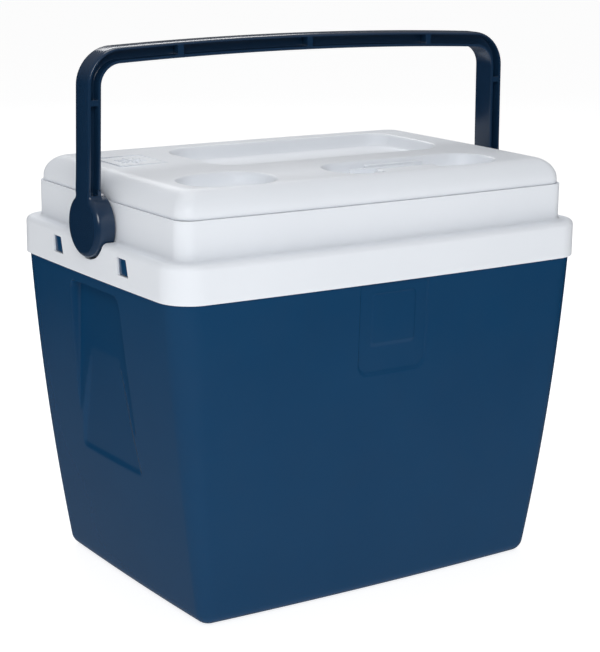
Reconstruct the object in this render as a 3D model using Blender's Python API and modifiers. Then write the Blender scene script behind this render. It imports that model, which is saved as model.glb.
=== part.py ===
"""Insulated cooler chest: tapered shell, collar, foamed inner liner, lift-off lid and swinging bail handle.

Metres, +Z up. The origin is at the middle of the base. X runs along the long side, the handle's pivot axis is
parallel to X, and -Y is the front with the shallow label recess.
"""

import math

import bmesh
import bpy
from mathutils import Matrix

# Plan size at the lower band: half sizes at the corners, and how far each side bows out at its middle.
HALF_X = 0.2280
HALF_Y = 0.15345
BOW_X = 0.0020
BOW_Y = 0.0039
BAND_CORNER = 0.0290

# Heights.
COLLAR_BOTTOM = 0.3030
LEDGE_TOP = 0.3380
COLLAR_TOP = 0.3727
LID_TOP = 0.3965
LID_CROWN = 0.0012

# Outer shell: walls that lean in and bulge slightly on the way down.
SHELL_WALL = 0.0025
SHELL_INSET = 0.0033
SHELL_TOP = 0.3330
TAPER_X = 0.0368
TAPER_Y = 0.0187
WALL_BULGE = 0.0032
SHELL_CORNER_TOP = 0.0260
SHELL_CORNER_BOTTOM = 0.0120
BASE_ROUND = 0.0110

# Side grip pockets: (height, half width, x of the back), from top to bottom.
POCKET_SECTIONS = (
    (0.2920, 0.0400, 0.2153),
    (0.2850, 0.0470, 0.2151),
    (0.2250, 0.0510, 0.2137),
    (0.1250, 0.0590, 0.2072),
)
POCKET_OUT = 0.2400

# Front label recess.
LABEL_HALF_TOP = 0.0390
LABEL_HALF_BOTTOM = 0.0375
LABEL_BOTTOM = 0.2190
LABEL_DEPTH = 0.0008

# Clips: blue lugs on the shell that show in the collar's windows.
CLIP_Y = 0.0623
CLIP_Z = 0.3160
CLIP_WIDTH = 0.0140
CLIP_HEIGHT = 0.0130
CLIP_PROUD = 0.0022
WINDOW_MARGIN = 0.0006

# Collar.
COLLAR_WALL = 0.0025
SKIRT_WALL = 0.0024
LEDGE_ROUND = 0.0050
UPPER_INSET = 0.0140
UPPER_EXTRA_Y = 0.0015
UPPER_CORNER = 0.0144
SHELF_TOP = 0.3690
MOUTH_INSET = 0.0260
MOUTH_CORNER = 0.0250

# Inner liner.
LINER_WALL = 0.0020
LINER_FLANGE_TOP = 0.3718
LINER_TOP_X = 0.2014
LINER_TOP_Y = 0.1250
LINER_BOTTOM_X = 0.1715
LINER_BOTTOM_Y = 0.1135
LINER_FLOOR = 0.0240
LINER_CORNER = 0.0240

# Foam.
FOAM_GAP = 0.0005
FOAM_SIDE = 0.0115
FOAM_FRONT = 0.0130
FOAM_TOP = 0.3320
FOAM_FLOOR_LOW = 0.0032

# Lid.
LID_WALL = 0.0025
LID_INSET = 0.0019
LID_BOTTOM = 0.3730
LID_ROUND = 0.0200
RECESS_DEPTH = 0.0120
PLUG_TOP_X = 0.1974
PLUG_TOP_Y = 0.1210
PLUG_DRAFT = 0.0019
PLUG_BOTTOM = 0.3520
PLUG_FLANGE_LOW = 0.3721
PLUG_FLANGE_HIGH = 0.3743
PLUG_CORNER = 0.0210
LID_FOAM_TOP = 0.3805

# Lid recesses: centre x, centre y, half length, half width, corner radius.
TRAY = (0.0300, 0.0375, 0.1360, 0.0645, 0.0340)
CUP = (-0.1385, -0.0875, 0.0465, 0.0330, 0.0320)
TWIN_LEFT = (-0.0130, -0.0890, 0.0180, 0.0295, 0.0160)
TWIN_RIGHT = (0.1215, -0.0890, 0.0365, 0.0295, 0.0160)
TWIN_LINK = (0.0635, -0.0765, 0.0945, 0.0165, 0.0160)

# Handle: a U-shaped bail on two round hubs.
PIVOT_Z = 0.3502
HUB_RADIUS = 0.0290
HUB_INNER = 0.2172
HUB_OUTER = 0.2360
HUB_ROUND = 0.0050
ARM_THICK = 0.0125
ARM_HALF_Y = 0.0118
ARM_SPLAY = 0.0027
BAR_TOP = 0.5084
BAR_THICK = 0.0142
BAR_CROWN = 0.0048
BEND_OUTER = 0.0336
BEND_INNER = 0.0200
CHANNEL_DEPTH = 0.0080
FLANGE = 0.0028
CHANNEL_LOW = 0.3740
HANDLE_FOOT = 0.3602
RIB_THICK = 0.0026
BAR_RIBS = (-0.1400, 0.0, 0.1400)
ARM_RIB_Z = 0.4600

# Pivot pins and the collar's hub pockets.
PIN_RADIUS = 0.0070
PIN_GAP = 0.00008
PIN_HEAD_RADIUS = 0.0110
PIN_HEAD_THICK = 0.0025
PIN_HEAD_FACE = 0.2132
PIN_END = 0.2295
PIN_BORE_END = 0.2300
HUB_POCKET_RADIUS = 0.0298
HUB_POCKET_BACK = 0.2166
CUP_WALL = 0.0024
CUP_INNER = 0.2140
SHELL_NOTCH_RADIUS = 0.0330

# How far a joined-in helper shape stays under the skin it joins.
SINK = 0.0003

ARC_STEPS = 6
SIDE_STEPS = 4
ROUND_STEPS = 48
BEND_STEPS = 6
CROWN_STEPS = 6

BLUE = (0.010, 0.052, 0.125)
NAVY = (0.006, 0.024, 0.065)
WHITE = (0.80, 0.83, 0.88)
LINER_WHITE = (0.82, 0.84, 0.86)
FOAM_WHITE = (0.90, 0.90, 0.88)


# ----------------------------------------------------------------------------------------------------
# Scene, materials and mesh helpers
# ----------------------------------------------------------------------------------------------------


def clear_scene():
    for obj in list(bpy.data.objects):
        bpy.data.objects.remove(obj, do_unlink=True)


def new_collection(name):
    collection = bpy.data.collections.new(name)
    bpy.context.scene.collection.children.link(collection)
    return collection


def plastic(name, color, roughness):
    material = bpy.data.materials.new(name)
    material.use_nodes = True
    shader = material.node_tree.nodes["Principled BSDF"]
    shader.inputs["Base Color"].default_value = (*color, 1.0)
    shader.inputs["Roughness"].default_value = roughness
    shader.inputs["Metallic"].default_value = 0.0
    return material


def add_object(name, mesh, collection, material=None):
    obj = bpy.data.objects.new(name, mesh)
    collection.objects.link(obj)
    if material:
        mesh.materials.append(material)
    return obj


def as_cutter(obj):
    obj.hide_render = True
    obj.display_type = "WIRE"
    return obj


def finish_mesh(name, bm):
    bmesh.ops.recalc_face_normals(bm, faces=bm.faces)
    mesh = bpy.data.meshes.new(name)
    bm.to_mesh(mesh)
    bm.free()
    mesh.shade_smooth()
    mesh.set_sharp_from_angle(angle=math.radians(32))
    return mesh


def boolean(obj, other, operation="DIFFERENCE"):
    modifier = obj.modifiers.new(f"{operation.lower()} {other.name}", "BOOLEAN")
    modifier.operation = operation
    modifier.object = other
    modifier.solver = "EXACT"


def plan_ring(half_x, half_y, radius, z, bow_x=BOW_X, bow_y=BOW_Y):
    """A rounded rectangle at height z whose four sides bow outwards, counter-clockwise from the +X side."""
    points = []
    corners = ((1, -1, -90), (1, 1, 0), (-1, 1, 90), (-1, -1, 180))
    for index, (sx, sy, start) in enumerate(corners):
        cx, cy = sx * (half_x - radius), sy * (half_y - radius)
        arc = [math.radians(start + 90 * k / ARC_STEPS) for k in range(ARC_STEPS + 1)]
        points += [(cx + radius * math.cos(a), cy + radius * math.sin(a)) for a in arc]
        nx, ny, turn = corners[(index + 1) % 4]
        end = math.radians(turn)
        target = (
            nx * (half_x - radius) + radius * math.cos(end),
            ny * (half_y - radius) + radius * math.sin(end),
        )
        last = points[-1]
        for k in range(1, SIDE_STEPS):
            t = k / SIDE_STEPS
            points.append((last[0] + (target[0] - last[0]) * t, last[1] + (target[1] - last[1]) * t))
    ring = []
    for x, y in points:
        grow_x = 1 + bow_x / half_x * (1 - (y / half_y) ** 2)
        grow_y = 1 + bow_y / half_y * (1 - (x / half_x) ** 2)
        ring.append((x * grow_x, y * grow_y, z))
    return ring


def loft(name, rings, closed=False):
    """Skins rings of equal length. An open run is capped at its ends, a closed one joins last to first."""
    bm = bmesh.new()
    rows = [[bm.verts.new(point) for point in ring] for ring in rings]
    pairs = list(zip(rows, rows[1:]))
    if closed:
        pairs.append((rows[-1], rows[0]))
    else:
        bm.faces.new(rows[0])
        bm.faces.new(rows[-1])
    for low, high in pairs:
        count = len(low)
        for k in range(count):
            bm.faces.new((low[k], low[(k + 1) % count], high[(k + 1) % count], high[k]))
    return finish_mesh(name, bm)


def box_mesh(name, low, high):
    bm = bmesh.new()
    bmesh.ops.create_cube(bm, size=1.0)
    for vert in bm.verts:
        vert.co = [low[i] + (vert.co[i] + 0.5) * (high[i] - low[i]) for i in range(3)]
    return finish_mesh(name, bm)


def boxes_mesh(name, boxes):
    """Several separate boxes in one mesh."""
    bm = bmesh.new()
    for low, high in boxes:
        made = bmesh.ops.create_cube(bm, size=1.0)["verts"]
        for vert in made:
            vert.co = [low[i] + (vert.co[i] + 0.5) * (high[i] - low[i]) for i in range(3)]
    return finish_mesh(name, bm)


def turned(name, collection, profile, side, material=None):
    """A turned piece about the handle's pivot axis. Its (radius, x) profile runs from the outer end in."""
    mesh = bpy.data.meshes.new(name)
    edges = [(k, k + 1) for k in range(len(profile) - 1)]
    mesh.from_pydata([(radius, 0, x) for radius, x in profile], edges, [])
    obj = add_object(name, mesh, collection, material)
    screw = obj.modifiers.new("turn", "SCREW")
    screw.axis = "Z"
    screw.steps = screw.render_steps = ROUND_STEPS
    screw.use_merge_vertices = True
    screw.merge_threshold = 0.0001
    screw.use_smooth_shade = True
    obj.rotation_euler = (0, math.radians(90 * side), 0)
    obj.location = (0, 0, PIVOT_Z)
    return obj


def disc(name, collection, radius, start, end, side):
    """A plain cylinder about the pivot axis, from x = start to x = end on one side."""
    return as_cutter(turned(name, collection, ((0, end), (radius, end), (radius, start), (0, start)), side))


def flat_plate(name, points, half_y):
    """A closed outline in the XZ plane with a thickness of twice half_y, as a mesh."""
    curve = bpy.data.curves.new(name, "CURVE")
    curve.dimensions = "2D"
    curve.fill_mode = "BOTH"
    curve.extrude = half_y
    spline = curve.splines.new("POLY")
    spline.points.add(len(points) - 1)
    for slot, (x, z) in zip(spline.points, points):
        slot.co = (x, z, 0, 1)
    spline.use_cyclic_u = True
    guide = bpy.data.objects.new(name, curve)
    bpy.context.scene.collection.objects.link(guide)
    guide.rotation_euler = (math.radians(90), 0, 0)
    bpy.context.view_layer.update()
    mesh = bpy.data.meshes.new_from_object(guide.evaluated_get(bpy.context.evaluated_depsgraph_get()))
    mesh.transform(guide.matrix_world)
    bpy.data.objects.remove(guide, do_unlink=True)
    bm = bmesh.new()
    bm.from_mesh(mesh)
    bmesh.ops.remove_doubles(bm, verts=bm.verts, dist=0.00001)
    return finish_mesh(name, bm)


# ----------------------------------------------------------------------------------------------------
# Outer shell
# ----------------------------------------------------------------------------------------------------


def wall_lean(z, taper):
    """How far the shell's wall has moved in at height z."""
    drop = max(0.0, 1 - z / COLLAR_BOTTOM)
    return taper * drop - 4 * WALL_BULGE * drop * (1 - drop)


def shell_ring(z, inset=0.0):
    drop = max(0.0, 1 - z / COLLAR_BOTTOM)
    corner = SHELL_CORNER_TOP + (SHELL_CORNER_BOTTOM - SHELL_CORNER_TOP) * drop
    half_x = HALF_X - SHELL_INSET - wall_lean(z, TAPER_X) - inset
    half_y = HALF_Y - SHELL_INSET - wall_lean(z, TAPER_Y) - inset
    return plan_ring(half_x, half_y, max(corner - inset, 0.003), z)


def shell_rings(top, floor, inset):
    """Rings from the floor up, with a rounded foot."""
    foot = BASE_ROUND - inset
    rings = []
    for k in range(4):
        angle = math.pi / 2 * k / 3
        rings.append(shell_ring(floor + foot * (1 - math.sin(angle)), inset + foot * (1 - math.cos(angle))))
    rings.reverse()
    for z in (0.06, 0.115, 0.17, 0.225, 0.27, COLLAR_BOTTOM, top):
        rings.append(shell_ring(z, inset))
    return rings


def pocket_ring(z, half, back, side):
    ring = [(back, -half, z), (POCKET_OUT, -half, z), (POCKET_OUT, half, z), (back, half, z)]
    return [(side * x, y, z) for x, y, z in ring]


def add_pocket(shell, envelope, cutters, side, word):
    """A grip pocket with its own wall: a bump is joined on inside, and the pocket is cut from outside."""
    grown = [(z, half + SHELL_WALL, back - SHELL_WALL) for z, half, back in POCKET_SECTIONS]
    grown[0] = (grown[0][0] + SHELL_WALL, *grown[0][1:])
    grown[-1] = (grown[-1][0] - SHELL_WALL, *grown[-1][1:])
    bump_mesh = loft(f"pocket bump {word}", [pocket_ring(*row, side) for row in grown])
    bump = as_cutter(add_object(f"pocket_bump_{word}", bump_mesh, cutters))
    boolean(bump, envelope, "INTERSECT")
    cut_mesh = loft(f"pocket cut {word}", [pocket_ring(*row, side) for row in POCKET_SECTIONS])
    cut = as_cutter(add_object(f"pocket_cut_{word}", cut_mesh, cutters))
    boolean(shell, bump, "UNION")
    boolean(shell, cut)


def label_cutter(cutters):
    rings = []
    for z, half in ((LABEL_BOTTOM, LABEL_HALF_BOTTOM), (COLLAR_BOTTOM + 0.002, LABEL_HALF_TOP)):
        face = -(HALF_Y + BOW_Y - SHELL_INSET - wall_lean(z, TAPER_Y)) + LABEL_DEPTH
        rings.append([(-half, face, z), (-half, face - 0.01, z), (half, face - 0.01, z), (half, face, z)])
    return as_cutter(add_object("label_cut", loft("label cut", rings), cutters))


def clip_mesh(side, y):
    """One clip lug, with its upper corner sloped for the collar to ride over."""
    face = HALF_X + BOW_X * (1 - (CLIP_Y / HALF_Y) ** 2) - SHELL_INSET
    low, high = CLIP_Z, CLIP_Z + CLIP_HEIGHT
    tip = face + CLIP_PROUD
    profile = ((face - 0.001, low), (tip, low), (tip, high - 0.004), (face - 0.001, high))
    rings = [[(side * x, y + half, z) for x, z in profile] for half in (-CLIP_WIDTH / 2, CLIP_WIDTH / 2)]
    return loft("clip", rings)


def make_outer_shell(parts, cutters, material):
    outside = shell_rings(SHELL_TOP, 0.0, 0.0)
    inside = shell_rings(SHELL_TOP, SHELL_WALL, SHELL_WALL)
    shell = add_object("outer_shell", loft("outer shell", outside + inside[::-1]), parts, material)
    within = loft("shell envelope", shell_rings(SHELL_TOP, SINK, SINK))
    envelope = as_cutter(add_object("shell_envelope", within, cutters))
    for side, word in ((1, "right"), (-1, "left")):
        add_pocket(shell, envelope, cutters, side, word)
        notch = disc(f"rim_notch_{word}", cutters, SHELL_NOTCH_RADIUS, 0.205, 0.240, side)
        boolean(shell, notch)
        for sign, end in ((1, "rear"), (-1, "front")):
            lug = as_cutter(add_object(f"clip_{word}_{end}", clip_mesh(side, sign * CLIP_Y), cutters))
            boolean(shell, lug, "UNION")
    boolean(shell, label_cutter(cutters))
    return shell


# ----------------------------------------------------------------------------------------------------
# Collar
# ----------------------------------------------------------------------------------------------------


def collar_ring(inset, z, radius):
    extra = UPPER_EXTRA_Y * min(1.0, inset / UPPER_INSET)
    return plan_ring(HALF_X - inset, HALF_Y - inset - extra, radius, z)


def collar_outside():
    """The collar's outer skin as (inset, z, corner radius), from the skirt's lower edge up to the rim."""
    rows = [(0.0, COLLAR_BOTTOM, BAND_CORNER)]
    for k in range(4):
        angle = math.pi / 2 * k / 3
        inset = LEDGE_ROUND * (1 - math.cos(angle))
        rows.append((inset, LEDGE_TOP - LEDGE_ROUND * (1 - math.sin(angle)), BAND_CORNER - inset))
    rows.append((UPPER_INSET - 0.002, LEDGE_TOP, UPPER_CORNER + 0.002))
    rows.append((UPPER_INSET, LEDGE_TOP + 0.002, UPPER_CORNER))
    rows.append((UPPER_INSET, COLLAR_TOP, UPPER_CORNER))
    return rows


def collar_inside():
    """The rest of the section: rim, wall, shelf for the liner's flange, underside of ledge and skirt."""
    inner = UPPER_INSET + COLLAR_WALL
    corner = UPPER_CORNER - COLLAR_WALL
    ledge_low = LEDGE_TOP - SKIRT_WALL
    skirt_corner = BAND_CORNER - SKIRT_WALL
    return [
        (inner, COLLAR_TOP, corner),
        (inner, SHELF_TOP, corner),
        (MOUTH_INSET, SHELF_TOP, MOUTH_CORNER),
        (MOUTH_INSET, SHELF_TOP - COLLAR_WALL, MOUTH_CORNER),
        (inner, SHELF_TOP - COLLAR_WALL, corner),
        (inner, ledge_low, corner),
        (SKIRT_WALL, ledge_low, skirt_corner),
        (SKIRT_WALL, COLLAR_BOTTOM, skirt_corner),
    ]


def make_collar(parts, cutters, material):
    outside = [collar_ring(*row) for row in collar_outside()]
    inside = [collar_ring(*row) for row in collar_inside()]
    collar = add_object("collar", loft("collar", outside + inside, closed=True), parts, material)
    within = []
    for inset, z, corner in collar_outside():
        within.append(collar_ring(inset + SINK, z + SINK if z < LEDGE_TOP else z - SINK, corner))
    envelope = as_cutter(add_object("collar_envelope", loft("collar envelope", within), cutters))
    for side, word in ((1, "right"), (-1, "left")):
        cup = disc(f"hub_cup_{word}", cutters, HUB_POCKET_RADIUS + CUP_WALL, CUP_INNER, 0.2400, side)
        boolean(cup, envelope, "INTERSECT")
        boolean(collar, cup, "UNION")
        boolean(collar, disc(f"hub_pocket_{word}", cutters, HUB_POCKET_RADIUS, HUB_POCKET_BACK, 0.2450, side))
        boolean(collar, disc(f"pin_hole_{word}", cutters, PIN_RADIUS + PIN_GAP, 0.2050, 0.2300, side))
    windows = []
    half = CLIP_WIDTH / 2 + WINDOW_MARGIN
    for side in (1, -1):
        for y in (CLIP_Y, -CLIP_Y):
            ends = sorted((side * 0.2200, side * 0.2350))
            low = (ends[0], y - half, CLIP_Z - WINDOW_MARGIN)
            high = (ends[1], y + half, CLIP_Z + CLIP_HEIGHT + WINDOW_MARGIN)
            windows.append((low, high))
    boolean(collar, as_cutter(add_object("clip_windows", boxes_mesh("clip windows", windows), cutters)))
    return collar


# ----------------------------------------------------------------------------------------------------
# Inner liner and foam
# ----------------------------------------------------------------------------------------------------


def liner_half(z):
    """The liner's outer half sizes at height z: its walls lean in towards the floor."""
    low = LINER_FLOOR - LINER_WALL
    t = (z - low) / (SHELF_TOP - low)
    half_x = LINER_BOTTOM_X + (LINER_TOP_X - LINER_BOTTOM_X) * t
    half_y = LINER_BOTTOM_Y + (LINER_TOP_Y - LINER_BOTTOM_Y) * t
    return half_x, half_y


def liner_ring(z, inset=0.0, z_at=None):
    half_x, half_y = liner_half(z)
    return plan_ring(half_x - inset, half_y - inset, LINER_CORNER - inset, z if z_at is None else z_at, 0, 0)


def make_inner_liner(parts, material):
    flange = UPPER_INSET + COLLAR_WALL + 0.0005
    flange_low = SHELF_TOP + 0.0003
    low = LINER_FLOOR - LINER_WALL
    rings = [
        liner_ring(low + 0.004, 0.004, low),
        liner_ring(low + 0.006),
        liner_ring(0.19),
        liner_ring(flange_low),
        collar_ring(flange, flange_low, UPPER_CORNER - COLLAR_WALL),
        collar_ring(flange, LINER_FLANGE_TOP, UPPER_CORNER - COLLAR_WALL),
        liner_ring(LINER_FLANGE_TOP, LINER_WALL),
        liner_ring(0.19, LINER_WALL),
        liner_ring(LINER_FLOOR + 0.005, LINER_WALL),
        liner_ring(LINER_FLOOR + 0.004, LINER_WALL + 0.004, LINER_FLOOR),
    ]
    return add_object("inner_liner", loft("inner liner", rings), parts, material)


def side_slab(name, parts, material, side):
    """A foam slab against the liner's short side, leaning with it."""
    rings = []
    for z in (LINER_FLOOR, FOAM_TOP):
        half_x, half_y = liner_half(z)
        inner = half_x + FOAM_GAP
        outer = inner + FOAM_SIDE
        reach = half_y - 0.001
        plan = ((inner, -reach), (outer, -reach), (outer, reach), (inner, reach))
        rings.append([(side * x, y, z) for x, y in plan])
    return add_object(name, loft(name, rings), parts, material)


def front_slab(name, parts, material, side):
    """A foam slab against the liner's long side, leaning with it."""
    rings = []
    for z in (LINER_FLOOR, FOAM_TOP):
        half_x, half_y = liner_half(z)
        inner = half_y + FOAM_GAP
        outer = inner + FOAM_FRONT
        reach = half_x - 0.001
        plan = ((-reach, inner), (reach, inner), (reach, outer), (-reach, outer))
        rings.append([(x, side * y, z) for x, y in plan])
    return add_object(name, loft(name, rings), parts, material)


def make_foam(parts, material):
    high = LINER_FLOOR - LINER_WALL - 0.0004
    rings = [plan_ring(LINER_BOTTOM_X, LINER_BOTTOM_Y, 0.012, z, 0, 0) for z in (FOAM_FLOOR_LOW, high)]
    add_object("foam_floor", loft("foam floor", rings), parts, material)
    side_slab("foam_right", parts, material, 1)
    side_slab("foam_left", parts, material, -1)
    front_slab("foam_rear", parts, material, 1)
    front_slab("foam_front", parts, material, -1)


# ----------------------------------------------------------------------------------------------------
# Lid
# ----------------------------------------------------------------------------------------------------


def lid_ring(inset, z):
    base = UPPER_INSET + LID_INSET + inset
    return collar_ring(base, z, max(UPPER_CORNER - 0.3 * inset, 0.006))


def lid_section(wall, crown):
    """Rings from the lid's lower edge up over its rounded shoulder to the crowned top."""
    rings = [lid_ring(wall, LID_BOTTOM)]
    turn = LID_ROUND - wall
    centre = LID_TOP - LID_ROUND
    for k in range(6):
        angle = math.pi / 2 * k / 5
        rings.append(lid_ring(wall + turn * (1 - math.cos(angle)), centre + turn * math.sin(angle)))
    rings.append(lid_ring(0.075, LID_TOP - wall + crown))
    return rings


def recess_mesh(name, recess, grow, low, high):
    """A rounded-rectangle recess that narrows towards its floor."""
    cx, cy, half_x, half_y, radius = recess
    rings = []
    for inset, z in ((0.005, low), (0.0, high)):
        ring = plan_ring(half_x - inset + grow, half_y - inset + grow, radius - inset + grow, z, 0, 0)
        rings.append([(x + cx, y + cy, z) for x, y, z in ring])
    return loft(name, rings)


def make_lid_cover(parts, cutters, material):
    outside = lid_section(0.0, LID_CROWN)
    inside = lid_section(LID_WALL, LID_CROWN)
    cover = add_object("lid_cover", loft("lid cover", inside[::-1] + outside), parts, material)
    recesses = {
        "tray": TRAY,
        "cup": CUP,
        "twin_left": TWIN_LEFT,
        "twin_right": TWIN_RIGHT,
        "twin_link": TWIN_LINK,
    }
    floor = LID_TOP - RECESS_DEPTH
    for word, recess in recesses.items():
        mesh = recess_mesh(f"{word} bump", recess, LID_WALL, floor - LID_WALL, LID_TOP - 0.001)
        boolean(cover, as_cutter(add_object(f"{word}_bump", mesh, cutters)), "UNION")
    for word, recess in recesses.items():
        mesh = recess_mesh(f"{word} cut", recess, 0.0, floor, LID_TOP + 0.003)
        boolean(cover, as_cutter(add_object(f"{word}_cut", mesh, cutters)))
    return cover


def make_lid_base(parts, material):
    """The tray-shaped inner plate: its plug drops into the liner's mouth, its flange lies over the liner's."""
    flange = UPPER_INSET + LID_INSET + LID_WALL + 0.0005

    def plug(z, inset, draft):
        return plan_ring(PLUG_TOP_X - draft - inset, PLUG_TOP_Y - draft - inset, PLUG_CORNER - inset, z, 0, 0)

    rings = [
        plug(PLUG_BOTTOM, 0.002, PLUG_DRAFT),
        plug(PLUG_BOTTOM + 0.002, 0.0, PLUG_DRAFT),
        plug(PLUG_FLANGE_LOW, 0.0, 0.0),
        collar_ring(flange, PLUG_FLANGE_LOW, UPPER_CORNER - LID_WALL),
        collar_ring(flange, PLUG_FLANGE_HIGH, UPPER_CORNER - LID_WALL),
        plug(PLUG_FLANGE_HIGH, LINER_WALL, 0.0),
        plug(PLUG_BOTTOM + LINER_WALL, LINER_WALL, PLUG_DRAFT),
    ]
    return add_object("lid_base", loft("lid base", rings), parts, material)


def make_lid_foam(parts, material):
    half_x = PLUG_TOP_X - PLUG_DRAFT - LINER_WALL - FOAM_GAP
    half_y = PLUG_TOP_Y - PLUG_DRAFT - LINER_WALL - FOAM_GAP
    low = PLUG_BOTTOM + LINER_WALL + 0.0004
    rings = [plan_ring(half_x, half_y, PLUG_CORNER - LINER_WALL, z, 0, 0) for z in (low, LID_FOAM_TOP)]
    return add_object("lid_foam", loft("lid foam", rings), parts, material)


# ----------------------------------------------------------------------------------------------------
# Handle and its pins
# ----------------------------------------------------------------------------------------------------


def bail_edge(foot_x, top, bend, low):
    """One edge of the U in the XZ plane, from the right foot over the crowned bar to the left foot."""
    start = top - bend
    centre = foot_x - arm_lean(start) - bend
    half = [(foot_x - arm_lean(low), low)]
    for k in range(BEND_STEPS + 1):
        angle = math.pi / 2 * k / BEND_STEPS
        half.append((centre + bend * math.cos(angle), start + bend * math.sin(angle)))
    for k in range(1, CROWN_STEPS):
        x = centre * (1 - k / CROWN_STEPS)
        half.append((x, top + BAR_CROWN * (1 - (x / centre) ** 2)))
    return half + [(0.0, top + BAR_CROWN)] + [(-x, z) for x, z in half[::-1]]


def arm_lean(z):
    """How far the arms have moved in at height z."""
    return ARM_SPLAY * (z - PIVOT_Z) / (BAR_TOP - PIVOT_Z)


def bail_outline(inset, low):
    """The closed outline of the U, drawn in by inset along both edges and ending at z = low."""
    outer = bail_edge(HUB_OUTER - inset, BAR_TOP - inset, BEND_OUTER - inset, low)
    inner = bail_edge(HUB_OUTER - ARM_THICK + inset, BAR_TOP - BAR_THICK + inset, BEND_INNER + inset, low)
    return outer + inner[::-1]


def rib_boxes():
    """The cross ribs that divide the channels, as boxes through the handle's whole depth."""
    half, deep = RIB_THICK / 2, ARM_HALF_Y + 0.01
    boxes = [((x - half, -deep, 0.485), (x + half, deep, 0.520)) for x in BAR_RIBS]
    for side in (1, -1):
        ends = sorted((side * 0.2150, side * 0.2400))
        boxes.append(((ends[0], -deep, ARM_RIB_Z - half), (ends[1], deep, ARM_RIB_Z + half)))
    return boxes


def hub_profile():
    """The hub from its outer face in: flat face, rounded rim, flat back and the blind bore for the pin."""
    profile = [(0.0, HUB_OUTER)]
    for k in range(5):
        angle = math.pi / 2 * k / 4
        radius = HUB_RADIUS - HUB_ROUND * (1 - math.sin(angle))
        profile.append((radius, HUB_OUTER - HUB_ROUND * (1 - math.cos(angle))))
    bore = PIN_RADIUS + PIN_GAP
    return profile + [(HUB_RADIUS, HUB_INNER), (bore, HUB_INNER), (bore, PIN_BORE_END), (0.0, PIN_BORE_END)]


def make_handle(parts, cutters, material):
    bail = flat_plate("handle", bail_outline(0.0, HANDLE_FOOT), ARM_HALF_Y)
    handle = add_object("handle", bail, parts, material)
    ribs = as_cutter(add_object("handle_ribs", boxes_mesh("handle ribs", rib_boxes()), cutters))
    for sign, word in ((1, "rear"), (-1, "front")):
        mesh = flat_plate(f"channel {word}", bail_outline(FLANGE, CHANNEL_LOW), CHANNEL_DEPTH)
        channel = as_cutter(add_object(f"channel_{word}", mesh, cutters))
        channel.location = (0, sign * ARM_HALF_Y, 0)
        boolean(channel, ribs)
        boolean(handle, channel)
    for side, word in ((1, "right"), (-1, "left")):
        boolean(handle, as_cutter(turned(f"hub_{word}", cutters, hub_profile(), side)), "UNION")
    return handle


def make_pins(parts, material):
    head = PIN_HEAD_FACE - PIN_HEAD_THICK
    profile = (
        (0.0, PIN_END),
        (PIN_RADIUS - 0.001, PIN_END),
        (PIN_RADIUS, PIN_END - 0.001),
        (PIN_RADIUS, PIN_HEAD_FACE),
        (PIN_HEAD_RADIUS, PIN_HEAD_FACE),
        (PIN_HEAD_RADIUS, head),
        (0.0, head),
    )
    for side, word in ((1, "right"), (-1, "left")):
        turned(f"pivot_pin_{word}", parts, profile, side, material)


def move_origin(obj, height):
    """Puts the object's origin on the Z axis at this height, and leaves its shape where it is."""
    obj.data.transform(Matrix.Translation((0, 0, -height)))
    obj.location = (0, 0, height)


def main():
    clear_scene()
    parts = new_collection("parts")
    cutters = new_collection("cutters")
    make_outer_shell(parts, cutters, plastic("shell_blue", BLUE, 0.42))
    make_collar(parts, cutters, plastic("collar_white", WHITE, 0.38))
    make_inner_liner(parts, plastic("liner_white", LINER_WHITE, 0.40))
    make_foam(parts, plastic("foam_white", FOAM_WHITE, 0.90))
    lid_cover = make_lid_cover(parts, cutters, plastic("lid_white", WHITE, 0.40))
    lid_base = make_lid_base(parts, plastic("lid_base_white", LINER_WHITE, 0.40))
    lid_foam = make_lid_foam(parts, plastic("lid_foam_white", FOAM_WHITE, 0.90))
    handle = make_handle(parts, cutters, plastic("handle_navy", NAVY, 0.42))
    make_pins(parts, plastic("pin_navy", NAVY, 0.45))
    for obj in (lid_cover, lid_base, lid_foam):
        move_origin(obj, LID_BOTTOM)
    move_origin(handle, PIVOT_Z)
    cutters.hide_render = True


main()
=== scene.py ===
"""Looks of an insulated cooler chest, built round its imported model.

Lengths are in millimetres, and make() turns them into metres. +Z is up, -Y is the front with the
shallow label recess, and the handle's pivot axis is parallel to X.
"""

import math

import bmesh
import bpy
import numpy as np
from mathutils import Matrix, Vector


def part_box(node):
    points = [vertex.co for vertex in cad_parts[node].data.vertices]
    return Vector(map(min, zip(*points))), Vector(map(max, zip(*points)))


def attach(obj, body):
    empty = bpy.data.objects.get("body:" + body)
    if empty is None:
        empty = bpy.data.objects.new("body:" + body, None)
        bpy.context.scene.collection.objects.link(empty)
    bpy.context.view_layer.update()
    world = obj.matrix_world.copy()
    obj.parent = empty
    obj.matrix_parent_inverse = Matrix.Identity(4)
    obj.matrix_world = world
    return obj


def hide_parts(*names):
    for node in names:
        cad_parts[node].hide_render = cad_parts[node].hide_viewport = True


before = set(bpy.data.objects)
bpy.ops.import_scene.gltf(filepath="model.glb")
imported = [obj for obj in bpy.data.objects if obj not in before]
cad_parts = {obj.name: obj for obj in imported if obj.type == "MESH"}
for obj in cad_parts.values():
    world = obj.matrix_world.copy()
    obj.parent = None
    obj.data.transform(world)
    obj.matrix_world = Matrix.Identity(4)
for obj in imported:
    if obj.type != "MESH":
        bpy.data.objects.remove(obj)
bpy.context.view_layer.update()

MM = 0.001
SIDES = ((1, "right"), (-1, "left"))


def box_mm(node):
    """A CAD node's lowest and highest corners, in millimetres."""
    low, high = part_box(node)
    return np.array(low) / MM, np.array(high) / MM


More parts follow.
